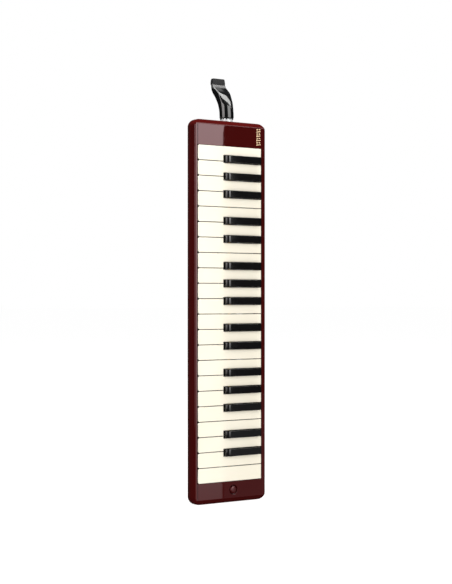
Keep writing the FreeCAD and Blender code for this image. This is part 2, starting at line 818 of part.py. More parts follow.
def chamber_outline(front, rear, inset):
    """The plan of the chamber, with its narrow sump under the drain button."""
    return [
        (f"{front} + {inset}", f"size.sump_bottom + {inset}"),
        (f"size.sump_rear - {inset}", f"size.sump_bottom + {inset}"),
        (f"size.sump_rear - {inset}", f"size.chamber_bottom + {inset}"),
        (f"{rear} - {inset}", f"size.chamber_bottom + {inset}"),
        (f"{rear} - {inset}", f"size.chamber_top - {inset}"),
        (f"{front} + {inset}", f"size.chamber_top - {inset}"),
    ]


CHAMBER_X = ("size.chamber_front", "size.chamber_rear")


def wind_chamber():
    """The box under the board that the breath fills, with a sealing gasket round its rim."""
    outline_of = {inset: chamber_outline(*CHAMBER_X, inset) for inset in ("0", "size.chamber_wall")}
    rim, floor = deep(RIM), deep("size.chamber_floor")
    outside = extrusion("chamber_outside", "y", outline_of["0"], rim, floor)
    hollow_y = (f"{rim} - size.past", f"{floor} - size.chamber_wall")
    inside = extrusion("chamber_inside", "y", outline_of["size.chamber_wall"], *hollow_y)
    inlet_z = ("size.chamber_top - size.chamber_wall - size.past", "size.chamber_top + size.past")
    inlet = rod("chamber_inlet", "z", INLET, f"{NOZZLE_RADIUS} + size.seam", *inlet_z)
    finish("wind_chamber", cut("wind_chamber", outside, group("chamber_cuts", [inside, inlet])))
    sheet_low, sheet_high = deep(BOARD_UNDER), rim
    ring = extrusion("gasket_outside", "y", outline_of["0"], sheet_low, sheet_high)
    hole_y = (f"{sheet_low} - size.past", f"{sheet_high} + size.past")
    hole = extrusion("gasket_inside", "y", outline_of["size.chamber_wall"], *hole_y)
    finish("chamber_gasket", cut("chamber_gasket", ring, hole))


def reed_length(place):
    share = place / (len(KEYS) - 1)
    return f"(size.bass_reed + (size.treble_reed - size.bass_reed) * {share:.4f})"


def pallet_board():
    """The chamber's lid: a cell over each reed, and a hole up to each key's pad."""
    plan = chamber_outline("size.board_front", "size.board_rear", "0")
    plate = extrusion("board_plate", "y", plan, deep("size.board_top"), deep(BOARD_UNDER))
    over, under = deep("size.board_top - size.past"), deep(f"{BOARD_UNDER} + size.past")
    cell_y = (deep(f"{BOARD_UNDER} - size.cell_deep"), under)
    hole_x = ("size.pad_x - size.hole_long / 2", "size.pad_x + size.hole_long / 2")
    cells, holes = [], []
    for place, middle in enumerate(LEVERS):
        cell_z = (f"{middle} - size.cell_wide / 2", f"{middle} + size.cell_wide / 2")
        cells.append(box(f"cell_{place}", ("size.cell_front", "size.cell_rear"), cell_y, cell_z))
        hole_z = (f"{middle} - size.hole_wide / 2", f"{middle} + size.hole_wide / 2")
        holes.append(box(f"pallet_hole_{place}", hole_x, (over, deep(BOARD_UNDER)), hole_z))
    drain = rod("drain_hole", "y", BUTTON, "size.drain_radius", over, under)
    screw_holes = rods("board_hole", post_spots(), "size.board_hole", over, under)
    pierced = cut("board_holes", plate, group("board_hole_tools", [*holes, drain, *screw_holes]))
    finish("pallet_board", cut("pallet_board", pierced, group("board_cells", cells)))


def reeds():
    """Two reed plates with a slot for each reed, the tongues over the slots and a rivet in each root."""
    middle = BETWEEN_LEVERS[len(BETWEEN_LEVERS) // 2]
    margin = "size.chamber_wall + size.plate_margin"
    plate_x = inset_pair(CHAMBER_X, margin)
    under = f"({BOARD_UNDER} + size.reed_plate_thick)"
    plate_y = (deep(BOARD_UNDER), deep(under))
    half_gap = "size.plate_margin / 2"
    ends = {
        "bass_plate": (f"{middle} + {half_gap}", f"size.chamber_top - ({margin})"),
        "treble_plate": (f"size.chamber_bottom + {margin}", f"{middle} - {half_gap}"),
    }
    plates = group("plate_blanks", [box(name, plate_x, plate_y, plate_z) for name, plate_z in ends.items()])
    slot_y = (deep(f"{BOARD_UNDER} - size.past"), deep(f"{under} + size.past"))
    tongue_top = deep(f"{under} + size.reed_thick")
    half = "size.reed_wide / 2"
    slots, tongues, rivets = [], [], []
    for place, lever_at in enumerate(LEVERS):
        tip = f"size.reed_root_x + {reed_length(place)}"
        slot_x = ("size.reed_root_x + size.slot_start", f"{tip} + size.slot_gap")
        slot_z = (f"{lever_at} - {half} - size.slot_gap", f"{lever_at} + {half} + size.slot_gap")
        slots.append(box(f"slot_{place}", slot_x, slot_y, slot_z))
        tongue_x = ("size.reed_root_x - size.reed_root", tip)
        tongue_z = (f"{lever_at} - {half}", f"{lever_at} + {half}")
        tongues.append(box(f"tongue_{place}", tongue_x, (deep(under), tongue_top), tongue_z))
        root = ("size.reed_root_x", lever_at)
        rivet_y = (tongue_top, f"{tongue_top} + size.rivet_height")
        rivets.append(rod(f"rivet_{place}", "y", root, "size.rivet_radius", *rivet_y))
    finish("reed_plates", cut("reed_plates", plates, group("reed_slots", slots)))
    finish("reeds", group("reeds", tongues))
    finish("reed_rivets", group("reed_rivets", rivets))


def chamber_screws():
    """Small screws that hold the board to the posts."""
    board_top = deep("size.board_top")
    head_y = (f"{board_top} - size.post_screw_head_thick", board_top)
    heads = rods("board_screw_head", post_spots(), "size.post_screw_head", *head_y)
    shank_y = (f"{board_top} - size.bite", deep("size.post_screw_tip"))
    shanks = rods("board_screw_shank", post_spots(), "size.post_pilot - size.contact", *shank_y)
    screws = [fuse(f"board_screw_{n}", pair) for n, pair in enumerate(zip(heads, shanks))]
    finish("chamber_screws", group("chamber_screws", screws))


# ---------------------------------------------------------------- key axle and springs


def axle_and_brackets():
    """The rod that every key turns on, held between levers by drilled brackets."""
    axle = ("size.axle_x", deep("size.axle_depth"))
    low, high = inset_pair(OPENING_Z, "size.axle_end_gap")
    finish("key_axle", rod("key_axle", "z", axle, "size.axle_radius", low, high))
    half = "size.bracket_thick / 2"
    spots = [f"{low} + {half}", *BETWEEN_LEVERS[3:-3:5], f"{high} - {half}"]
    bracket_x = ("size.axle_x - size.bracket_half", "size.axle_x + size.bracket_half")
    bracket_y = (deep("size.axle_depth - size.bracket_rise"), deep("size.board_top - size.contact"))
    bore_radius = "size.axle_radius + size.bracket_fit"
    brackets = []
    for number, middle in enumerate(spots):
        upright = box(f"bracket_{number}", bracket_x, bracket_y, (f"{middle} - {half}", f"{middle} + {half}"))
        bore_z = (f"{middle} - {half} - size.past", f"{middle} + {half} + size.past")
        bore = rod(f"bracket_bore_{number}", "z", axle, bore_radius, *bore_z)
        brackets.append(cut(f"drilled_bracket_{number}", upright, bore))
    finish("axle_brackets", group("axle_brackets", brackets))


def key_springs():
    """A comb of leaf springs: a strip on the board, with a finger under the arm of each key."""
    strip_under = deep("size.board_top - size.contact")
    strip_top = f"{strip_under} - size.leaf_thick"
    tip_top = deep("size.arm_depth + size.leaf_gap")
    strip_z = (f"{LEVERS[-1]} - size.leaf_wide", f"{LEVERS[0]} + size.leaf_wide")
    strip = box("spring_strip", ("size.leaf_bend", "size.leaf_root"), (strip_top, strip_under), strip_z)
    finger = [
        ("size.leaf_bend + 0.5", strip_top),
        ("size.leaf_bend + 0.5", strip_under),
        ("size.leaf_tip", f"{tip_top} + size.leaf_thick"),
        ("size.leaf_tip", tip_top),
    ]
    half = "size.leaf_wide / 2"
    fingers = [
        extrusion(f"spring_finger_{n}", "z", finger, f"{middle} - {half}", f"{middle} + {half}")
        for n, middle in enumerate(LEVERS)
    ]
    finish("key_springs", fuse("key_springs", [strip, *fingers]))


def key_rest_felt():
    felt_y = (deep("size.felt_depth"), deep("size.ledge_depth"))
    felt_z = inset_pair(OPENING_Z, "size.ledge_end_gap")
    finish("key_rest_felt", box("key_rest_felt", ("size.felt_front", "size.felt_rear"), felt_y, felt_z))


# ---------------------------------------------------------------- drain valve


def drain_valve():
    """A button on a stem that pushes a disc away from the hole in the board, against a leaf spring."""
    disc_top = deep(f"{BOARD_UNDER} + size.disc_gap")
    disc_under = f"{disc_top} + size.disc_thick"
    stem_end = f"{disc_under} + size.stem_head_thick"
    cap_y = (deep("-size.button_proud"), deep("size.button_depth"))
    cap = rod("button_cap", "y", BUTTON, "size.button_radius", *cap_y)
    stem = rod("button_stem", "y", BUTTON, "size.stem_radius", f"{cap_y[1]} - size.bite", stem_end)
    head = rod("stem_head", "y", BUTTON, "size.stem_head", disc_under, stem_end)
    finish("drain_button", fuse("drain_button", [cap, stem, head]))
    disc = rod("disc_blank", "y", BUTTON, "size.disc_radius", disc_top, disc_under)
    hole_y = (f"{disc_top} - size.past", f"{disc_under} + size.past")
    hole = rod("disc_hole", "y", BUTTON, "size.stem_radius + size.disc_fit", *hole_y)
    finish("drain_valve_disc", cut("drain_valve_disc", disc, hole))
    thick = "size.drain_leaf_thick"
    floor = deep("size.chamber_floor - size.chamber_wall - size.contact")
    top = f"{stem_end} + size.contact"
    flat_end = "size.drain_leaf_low + size.drain_leaf_flat"
    leaf = [
        (top, "size.drain_leaf_low"),
        (f"{top} + {thick}", "size.drain_leaf_low"),
        (f"{top} + {thick}", flat_end),
        (floor, "size.drain_leaf_bend"),
        (floor, "size.drain_leaf_end"),
        (f"{floor} - {thick}", "size.drain_leaf_end"),
        (f"{floor} - {thick}", f"size.drain_leaf_bend + {thick}"),
        (top, f"{flat_end} + {thick}"),
    ]
    leaf_x = ("size.button_x - size.drain_leaf_half", "size.button_x + size.drain_leaf_half")
    finish("drain_spring", extrusion("drain_leaf", "x", leaf, *leaf_x))


# ---------------------------------------------------------------- strap and screws


def anchor_middles():
    half = "size.anchor_long / 2"
    return [f"size.strap_low + {half}", f"size.strap_high - {half}"]


def strap_screw_spots():
    return [(x, z) for x in ("-size.strap_screw_x", "size.strap_screw_x") for z in anchor_middles()]


def hand_strap():
    """A band over the back, held flat at both ends and arched between them for the hand."""
    under = deep("size.back_depth + size.contact")
    flat = deep("size.back_depth + size.strap_thick")
    arch = deep("size.back_depth + size.strap_rise")
    arch_under = f"{arch} - size.strap_thick"
    foot, crown = "size.anchor_long", "size.anchor_long + size.strap_ramp"
    fold = "size.strap_fold"
    low, high = "size.strap_low", "size.strap_high"
    side = [
        (under, low),
        (flat, low),
        (flat, f"{low} + {foot}"),
        (arch, f"{low} + {crown}"),
        (arch, f"{high} - ({crown})"),
        (flat, f"{high} - {foot}"),
        (flat, high),
        (under, high),
        (under, f"{high} - {foot} - {fold}"),
        (arch_under, f"{high} - ({crown}) - {fold}"),
        (arch_under, f"{low} + {crown} + {fold}"),
        (under, f"{low} + {foot} + {fold}"),
    ]
    band = extrusion("strap_band", "x", side, "-size.strap_width / 2", "size.strap_width / 2")
    hole_y = (deep("size.back_depth - size.past"), f"{flat} + size.anchor_plate_thick + size.past")
    holes = rods("strap_hole", strap_screw_spots(), "size.strap_hole", *hole_y)
    finish("hand_strap", cut("hand_strap", band, group("strap_holes", holes)))
    plate_half = "size.strap_width / 2 + size.anchor_plate_extra"
    plate_x = (f"-({plate_half})", plate_half)
    plate_y = (f"{flat} + size.contact", f"{flat} + size.contact + size.anchor_plate_thick")
    half = "size.anchor_plate_long / 2"
    plates = [
        box(f"anchor_{number}", plate_x, plate_y, (f"{middle} - {half}", f"{middle} + {half}"))
        for number, middle in enumerate(anchor_middles())
    ]
    plate_holes = rods("anchor_hole", strap_screw_spots(), "size.strap_hole", *hole_y)
    made = cut("strap_anchors", group("anchor_plates", plates), group("anchor_holes", plate_holes))
    finish("strap_anchors", made)


def screws(name, spots, head, shank):
    """Equal screws driven towards -Y; head and shank are (radius, low y, high y)."""
    heads = rods(f"{name}_head", spots, *head)
    shanks = rods(f"{name}_shank", spots, *shank)
    return [fuse(f"{name}_{n}", pair) for n, pair in enumerate(zip(heads, shanks))]


def case_screws():
    """Four long screws that close the case, and two through each end of the strap."""
    head = ("size.screw_head", deep("size.screw_head_top"), deep("size.screw_head_under"))
    shank = ("size.screw_radius", deep("size.screw_tip"), f"{head[1]} + size.bite")
    closing = screws("case_screw", SCREW_SPOTS, head, shank)
    plate = deep("size.back_depth + size.strap_thick + size.contact + size.anchor_plate_thick")
    head = ("size.screw_head", f"{plate} + size.contact", f"{plate} + size.strap_screw_head_thick")
    shank = ("size.strap_screw_radius", f"{plate} - size.strap_screw_long", f"{plate} + size.bite")
    holding = screws("strap_screw", strap_screw_spots(), head, shank)
    finish("case_screws", group("case_screws", [*closing, *holding]))


# ---------------------------------------------------------------- build, check and write

upper_case()
lower_case()
inlet_socket()
inlet_seal()
mouthpiece()
wind_chamber()
pallet_board()
reeds()
chamber_screws()
axle_and_brackets()
key_springs()
key_rest_felt()
drain_valve()
hand_strap()
case_screws()
make_keys()
doc.recompute()

broken = [o.Name for o in doc.Objects if {"Invalid", "Error"} & set(o.State)]
assert not broken, f"features that didn't compute: {broken}"
os.makedirs("parts", exist_ok=True)
for part in finished:
    assert not part.Shape.isNull(), f"{part.Label} is empty"
    assert part.Shape.isValid(), f"{part.Label} is not valid"
    assert part.Shape.Solids, f"{part.Label} has no solid"
    part.Shape.exportStep(f"parts/{part.Label}.step")
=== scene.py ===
"""A burgundy 37-key melodica standing on its treble end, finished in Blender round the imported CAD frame.

Everything is in metres in the CAD frame: +Z along the instrument, keys facing -Y, key fronts towards -X.
"""
import bmesh
import bpy
import math
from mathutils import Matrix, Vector


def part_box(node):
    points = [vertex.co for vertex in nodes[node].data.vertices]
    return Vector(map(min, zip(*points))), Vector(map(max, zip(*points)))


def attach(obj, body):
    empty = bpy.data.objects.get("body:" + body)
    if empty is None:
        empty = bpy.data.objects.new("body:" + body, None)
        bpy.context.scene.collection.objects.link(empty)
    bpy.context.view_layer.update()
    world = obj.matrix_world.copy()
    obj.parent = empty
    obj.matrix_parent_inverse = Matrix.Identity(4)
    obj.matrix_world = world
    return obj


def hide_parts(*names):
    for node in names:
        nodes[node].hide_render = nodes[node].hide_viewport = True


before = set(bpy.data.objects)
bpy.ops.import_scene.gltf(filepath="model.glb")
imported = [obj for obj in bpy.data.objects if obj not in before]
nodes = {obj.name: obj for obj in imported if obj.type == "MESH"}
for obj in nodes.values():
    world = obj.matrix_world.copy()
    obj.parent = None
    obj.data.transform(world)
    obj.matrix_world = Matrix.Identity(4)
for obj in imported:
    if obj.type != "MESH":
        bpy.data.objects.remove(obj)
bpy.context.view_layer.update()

MM = 0.001
scene = bpy.context.scene
scene.view_settings.view_transform = "Standard"

# ---------------------------------------------------------------- places read from the frame

DECK_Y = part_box("upper_case")[0][1]
mouth_low, mouth_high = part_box("mouthpiece")
tip_low, tip_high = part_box("mouthpiece_tip")
collar_low, collar_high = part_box("inlet_socket")
INLET_X = (collar_low[0] + collar_high[0]) / 2
INLET_Y = (collar_low[1] + collar_high[1]) / 2
strap_low, strap_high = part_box("hand_strap")
button_low, button_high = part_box("drain_button")
BUTTON_X = (button_low[0] + button_high[0]) / 2
BUTTON_Z = (button_low[2] + button_high[2]) / 2
KEYBOARD_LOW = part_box("white_key_22")[0][2]
KEYBOARD_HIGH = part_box("white_key_01")[1][2]

# ---------------------------------------------------------------- materials

NOISE_LOW, NOISE_HIGH = 0.3, 0.7  # where most of a noise texture's values lie
WAVE_LENGTH = 0.3142  # the repeat of a wave texture at scale 1, in metres


class Nodes:
    """A short way to add nodes to a material and join them."""

    def __init__(self, name):
        self.material = bpy.data.materials.new(name)
        self.material.use_nodes = True
        self.tree = self.material.node_tree
        self.shader = self.tree.nodes["Principled BSDF"]

    def add(self, kind, **inputs):
        node = self.tree.nodes.new(kind)
        for key, value in inputs.items():
            node.inputs[key.replace("_", " ")].default_value = value
        return node

    def join(self, source, target, output=0):
        self.tree.links.new(source.outputs[output], target)

    def set(self, **inputs):
        for key, value in inputs.items():
            self.shader.inputs[key.replace("_", " ")].default_value = value


def place_source(made, scale=(1, 1, 1)):
    """Object coordinates, stretched along the axes."""
    coordinates = made.add("ShaderNodeTexCoord")
    mapping = made.add("ShaderNodeMapping", Scale=scale)
    made.join(coordinates, mapping.inputs["Vector"], output=3)
    return mapping


def noise(made, place, scale, detail=3.0):
    texture = made.add("ShaderNodeTexNoise", Scale=scale, Detail=detail)
    made.join(place, texture.inputs["Vector"])
    return texture


def rough(made, source, low, high):
    """Roughness that follows a noise texture from low to high."""
    spread = made.add("ShaderNodeMapRange", From_Min=NOISE_LOW, From_Max=NOISE_HIGH, To_Min=low, To_Max=high)
    made.join(source, spread.inputs["Value"])
    made.join(spread, made.shader.inputs["Roughness"])


def coloured(made, source, colour, other, start=0.0, end=1.0, output=0):
    """Base colour that goes from colour to other as the source goes from start to end."""
    ramp = made.add("ShaderNodeValToRGB")
    for stop, position, shade in zip(ramp.color_ramp.elements, (start, end), (colour, other)):
        stop.position = position
        stop.color = (*shade, 1)
    made.join(source, ramp.inputs["Fac"], output)
    made.join(ramp, made.shader.inputs["Base Color"])


def mottled(made, place, colour, other, scale):
    """Base colour that drifts between two near colours."""
    coloured(made, noise(made, place, scale), colour, other, 0.35, 0.65)


def bumped(made, source, strength, distance):
    bump = made.add("ShaderNodeBump", Strength=strength, Distance=distance)
    made.join(source, bump.inputs["Height"])
    made.join(bump, made.shader.inputs["Normal"])


def moulded(name, colour, other, roughness, grain=900.0, bump=0.02, **shader):
    """Moulded plastic: a slight drift of colour and gloss and a fine surface grain."""
    made = Nodes(name)
    place = place_source(made)
    mottled(made, place, colour, other, 18.0)
    rough(made, noise(made, place, 60.0), *roughness)
    bumped(made, noise(made, place, grain, 2.0), bump, 0.2 * MM)
    made.set(**shader)
    return made.material


def metal(name, colour, other, roughness, stretch):
    """Metal brushed along one axis."""
    made = Nodes(name)
    place = place_source(made, stretch)
    mottled(made, place, colour, other, 40.0)
    lines = noise(made, place, 900.0, 4.0)
    rough(made, lines, *roughness)
    bumped(made, lines, 0.05, 0.1 * MM)
    made.set(Metallic=1.0)
    return made.material


def webbing(name, colour, other, pitch):
    """Woven tape: warp ribs along the strap crossed by a finer weft."""
    made = Nodes(name)
    place = place_source(made)
    weave = made.add("ShaderNodeMath")
    weave.operation = "MULTIPLY"
    for side, direction, distortion in ((0, "X", 0.4), (1, "Z", 0.3)):
        wave = made.add("ShaderNodeTexWave", Scale=WAVE_LENGTH / pitch, Distortion=distortion, Detail=1.0)
        wave.bands_direction = direction
        made.join(place, wave.inputs["Vector"])
        made.join(wave, weave.inputs[side], output=1)
    coloured(made, weave, colour, other)
    bumped(made, weave, 0.6, 0.6 * MM)
    made.set(Roughness=0.8)
    return made.material


def mouth_gloss():
    """Black gloss with a painted highlight: it turns pale where the mesh's highlight attribute is high."""
    made = Nodes("mouthpiece_gloss")
    place = place_source(made)
    painted_highlight = made.add("ShaderNodeAttribute")
    painted_highlight.attribute_name = "painted_highlight"
    # the pale end of this ramp is the painted highlight
    coloured(made, painted_highlight, (0.0035, 0.0035, 0.0038), (0.20, 0.20, 0.197), output=2)
    rough(made, noise(made, place, 60.0), 0.05, 0.09)
    bumped(made, noise(made, place, 300.0, 2.0), 0.005, 0.2 * MM)
    return made.material


BURGUNDY = (0.049, 0.0030, 0.0027)
BURGUNDY_DEEP = (0.044, 0.0026, 0.0023)
ROSE = (1.0, 0.72, 0.75, 1.0)
ALONG_Z, ALONG_Y = (1, 1, 0.05), (1, 0.1, 1)
materials = {
    "burgundy": moulded(
        "burgundy_gloss", BURGUNDY, BURGUNDY_DEEP, (0.012, 0.022), 160.0, 0.0015, IOR=1.5, Specular_Tint=ROSE
    ),
    "groove": moulded("groove_shadow", (0.012, 0.002, 0.002), (0.009, 0.002, 0.002), (0.6, 0.7), 900.0, 0.05),
    "button": moulded("button_satin", BURGUNDY, BURGUNDY_DEEP, (0.24, 0.3), 700.0, 0.02, Specular_Tint=ROSE),
    "burgundy_back": moulded("burgundy_back", BURGUNDY, BURGUNDY_DEEP, (0.10, 0.16), 500.0, 0.015, IOR=1.5),
    "white": moulded("key_white", (0.90, 0.845, 0.70), (0.88, 0.82, 0.67), (0.16, 0.24), 700.0, 0.01),
    # the white keys' sides are painted dark, as painted shade for the gaps between the keys
    "white_painted_shade": moulded("key_white_painted_shade", (0.17, 0.15, 0.12), (0.14, 0.125, 0.10), (0.4, 0.5), 700.0),
    "black": moulded(
        "key_black", (0.0048, 0.0047, 0.0049), (0.0040, 0.0039, 0.0041), (0.03, 0.05), 300.0, 0.003
    ),
    "mouth": mouth_gloss(),
    "tip": moulded(
        "tip_matt", (0.0085, 0.0085, 0.009), (0.011, 0.011, 0.0115), (0.5, 0.65), 2600.0, 0.25,
        Specular_IOR_Level=0.2,
    ),
    "collar": moulded("collar_pale", (0.86, 0.92, 0.93), (0.80, 0.88, 0.90), (0.18, 0.28), 500.0, 0.01),
    "dark": moulded("chamber_dark", (0.03, 0.03, 0.032), (0.04, 0.04, 0.042), (0.45, 0.6), 900.0, 0.08),
    "board": moulded("board_grey", (0.30, 0.29, 0.26), (0.36, 0.35, 0.31), (0.4, 0.55), 900.0, 0.06),
    "rubber": moulded("rubber_black", (0.012, 0.012, 0.012), (0.018, 0.018, 0.018), (0.7, 0.85), 1800.0, 0.2),
    "felt": moulded("felt_red", (0.20, 0.016, 0.016), (0.28, 0.03, 0.028), (0.9, 1.0), 3500.0, 0.8),
    "gold": moulded(
        "gold_foil", (0.72, 0.51, 0.30), (0.60, 0.39, 0.19), (0.3, 0.45), 2000.0, 0.1, Metallic=0.2
    ),
    "brass": metal("brass_rolled", (0.72, 0.50, 0.22), (0.60, 0.41, 0.17), (0.25, 0.42), ALONG_Z),
    "steel": metal("steel_ground", (0.55, 0.55, 0.56), (0.45, 0.45, 0.47), (0.22, 0.4), ALONG_Z),
    "screw": metal("screw_black", (0.10, 0.10, 0.105), (0.14, 0.14, 0.145), (0.3, 0.5), ALONG_Y),
    "thread": moulded("strap_thread", (0.05, 0.05, 0.052), (0.075, 0.075, 0.078), (0.6, 0.8), 3000.0, 0.3),
    "webbing": webbing("strap_webbing", (0.006, 0.006, 0.0065), (0.028, 0.028, 0.03), 1.2 * MM),
}

# ---------------------------------------------------------------- mesh helpers

ROUND = [(math.cos(turn), math.sin(turn)) for turn in (2 * math.pi * n / 48 for n in range(48))]  # a circle
WELD = 0.002 * MM
FLAT = 0.99995  # a face whose normal has a part this long along an axis is square to it
SHARP_EDGE = math.radians(28)
CREASE = math.radians(35)
SORTING_WAY = Vector((1.0, 1.37, 1.73))  # along no edge or plane of a key, so that few places tie


def new_object(name, mesh, material):
    made = bpy.data.objects.new(name, mesh)
    scene.collection.objects.link(made)
    mesh.materials.append(material)
    return made


def mesh_from(name, vertices, faces):
    mesh = bpy.data.meshes.new(name)
    mesh.from_pydata([tuple(v) for v in vertices], [], faces)
    mesh.validate()
    work = bmesh.new()
    work.from_mesh(mesh)
    bmesh.ops.recalc_face_normals(work, faces=work.faces)
    work.to_mesh(mesh)
    work.free()
    return mesh


def lofted(name, rings, material):
    """A closed skin over rings of equal length, with a flat face at each end."""
    count = len(rings[0])
    vertices = [v for ring in rings for v in ring]
    faces = []
    for level in range(len(rings) - 1):
        for place in range(count):
            following = (place + 1) % count
            low, high = level * count, (level + 1) * count
            faces.append((low + place, low + following, high + following, high + place))
    faces.append(tuple(range(count)))
    faces.append(tuple(range((len(rings) - 1) * count, len(rings) * count)))
    return new_object(name, mesh_from(name, vertices, faces), material)


def rectangle(x0, x1, y0, y1, z):
    """A level ring of four corners."""
    return [Vector(corner) for corner in ((x0, y0, z), (x1, y0, z), (x1, y1, z), (x0, y1, z))]


def soften(piece, width, segments=3, angle=32.0):
    """Rounds a piece's sharp edges and shades it smooth with weighted normals."""
    weld = piece.modifiers.new("weld", "WELD")
    weld.merge_threshold = WELD
    bevel = piece.modifiers.new("edges", "BEVEL")
    bevel.width = width
    bevel.segments = segments
    bevel.limit_method = "ANGLE"
    bevel.angle_limit = math.radians(angle)
    bevel.use_clamp_overlap = True
    smooth_by_weight(piece)


def smooth_by_weight(piece):
    piece.data.shade_smooth()
    weighted = piece.modifiers.new("normals", "WEIGHTED_NORMAL")
    weighted.keep_sharp = True
    weighted.weight = 80


def declare(piece, body, slot, *replaced):
    """Says which body a piece rides on and what it stands for; the slot is not used."""
    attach(piece, body)
    if replaced:
        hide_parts(*replaced)
    return piece


def paint(node, material):
    """Gives a CAD node its finished material."""
    slots = nodes[node].data.materials
    slots.clear()
    slots.append(material)


def is_flat(normal):
    """True of a face that is square to an axis of the frame."""
    return max(abs(normal.x), abs(normal.y), abs(normal.z)) > FLAT


def loop_normal(face, loop):
    """A corner's normal: that of a flat face that runs smoothly into this one, or the smooth average."""
    if is_flat(face.normal):
        return face.normal
    near = [(f, f.normal) for f in loop.vert.link_faces if f.normal.angle(face.normal, 0.0) < CREASE]
    for _, normal in near:
        if is_flat(normal):
            return normal
    total = Vector()
    for other, normal in near:
        corner = next(c for c in other.loops if c.vert is loop.vert)
        total += normal * corner.calc_angle()
    return total.normalized()


def skin(node, body, slot, material, width, wanted, split=None):
    """A copy of a CAD node's surface with the wanted sharp edges rounded and true normals on its flats.

    A split divides the faces along a plane square to y, so that each side can have its own material.
    """
    work = bmesh.new()
    work.from_mesh(nodes[node].data)
    bmesh.ops.transform(work, matrix=nodes[node].matrix_world, verts=work.verts)
    bmesh.ops.remove_doubles(work, verts=work.verts, dist=WELD)
    bmesh.ops.dissolve_limit(work, angle_limit=math.radians(0.4), verts=work.verts, edges=work.edges)
    sharp = [
        edge
        for edge in work.edges
        if edge.is_manifold
        and edge.calc_face_angle(0.0) > SHARP_EDGE
        and wanted((edge.verts[0].co + edge.verts[1].co) / 2)
    ]
    bmesh.ops.bevel(
        work,
        geom=sharp,
        offset=width,
        offset_type="OFFSET",
        segments=3,
        profile=0.5,
        affect="EDGES",
        clamp_overlap=False,
    )
    if split is not None:
        everything = work.verts[:] + work.edges[:] + work.faces[:]
        bmesh.ops.bisect_plane(work, geom=everything, plane_co=(0, split, 0), plane_no=(0, 1, 0))
        # the cut leaves its points and faces in any order, so they are sorted to be the same in each run
        work.verts.sort(key=lambda vert: vert.co.dot(SORTING_WAY))
        work.faces.sort(key=lambda face: face.calc_center_median().dot(SORTING_WAY))
    work.normal_update()
    normals = [tuple(loop_normal(face, loop)) for face in work.faces for loop in face.loops]
    mesh = bpy.data.meshes.new(f"{node}_skin")
    work.to_mesh(mesh)
    work.free()
    mesh.shade_smooth()
    mesh.normals_split_custom_set(normals)
    return declare(new_object(f"{node}_skin", mesh, material), body, slot, node)


# ---------------------------------------------------------------- CAD nodes that keep their shape

# each node's material, and the width of its rounded edges
CAD_FINISH = {
    "inlet_socket": ("collar", 0.4 * MM),
    "strap_anchors": ("dark", 0.4 * MM),
    "case_screws": ("screw", 0.2 * MM),
    "wind_chamber": ("dark", None),
    "chamber_gasket": ("rubber", None),
    "inlet_seal": ("rubber", None),
    "drain_valve_disc": ("rubber", None),
    "pallet_board": ("board", None),
    "reed_plates": ("brass", None),
    "reeds": ("brass", None),
    "reed_rivets": ("brass", None),
    "chamber_screws": ("steel", None),
    "key_axle": ("steel", None),
    "axle_brackets": ("steel", None),
    "key_springs": ("brass", None),
    "drain_spring": ("steel", None),
    "key_rest_felt": ("felt", None),
}
for node, (finish_name, width) in CAD_FINISH.items():
    paint(node, materials[finish_name])
    if width:
        soften(nodes[node], width)

# ---------------------------------------------------------------- case and keys

GROOVE_X = -45.6 * MM  # the fine line along the deck between the lip and the key fronts
OPENING_LOW, OPENING_HIGH = KEYBOARD_LOW - 1 * MM, KEYBOARD_HIGH + 1 * MM
OPENING_HALF = 47.3 * MM
RECESS_REACH = 7 * MM
KEY_SPLIT = DECK_Y - 0.2 * MM  # a white key's front shows above this level
BLACK_SHOULDER = DECK_Y - 1.6 * MM


def on_deck_face(spot):
    """Edges of the deck's outer face that aren't already rounded: the opening and the button's recess."""
    away = math.hypot(spot.x - BUTTON_X, spot.z - BUTTON_Z)
    inside_opening = OPENING_LOW < spot.z < OPENING_HIGH and abs(spot.x) < OPENING_HALF
    at_groove = abs(spot.x - GROOVE_X) < 0.5 * MM and not inside_opening
    return spot.y < DECK_Y + 0.1 * MM and (inside_opening or away < RECESS_REACH) and not at_groove


def on_no_edge(spot):
    return False


def on_white_rim(spot):
    return spot.y < DECK_Y


def on_black_block(spot):
    return spot.y < BLACK_SHOULDER


def in_groove(spot):
    depth = spot.y - DECK_Y
    return abs(spot.x - GROOVE_X) < 0.4 * MM and 0.02 * MM < depth < 1.5 * MM


def is_key_side(face):
    """True of a white key's faces apart from its top and the part of its front that shows: the faces that get
    painted shade.
    """
    on_front = face.normal.x < -0.7 and face.center.y < KEY_SPLIT
    return face.normal.y > -0.5 and not on_front


upper = skin("upper_case", "case", "case_plastic", materials["burgundy"], 0.3 * MM, on_deck_face)
upper.data.materials.append(materials["groove"])
for face in upper.data.polygons:
    face.material_index = int(in_groove(face.center))
skin("lower_case", "case", "lower_case_plastic", materials["burgundy_back"], 0.3 * MM, on_no_edge)

for node in sorted(nodes):
    if node.startswith("white_key"):
        key = skin(node, node, "white_key_plastic", materials["white"], 0.35 * MM, on_white_rim, KEY_SPLIT)
        # the key's sides take the painted shade
        key.data.materials.append(materials["white_painted_shade"])
        for face in key.data.polygons:
            face.material_index = int(is_key_side(face))
    elif node.startswith("black_key"):
        skin(node, node, "black_key_plastic", materials["black"], 0.45 * MM, on_black_block)

# depth under the cap's face and radius, in mm
CAP_PROFILE = ((0.0, 0.001), (0.06, 2.2), (0.18, 3.1), (0.45, 3.7), (0.9, 4.1), (1.5, 4.35), (2.1, 4.4))


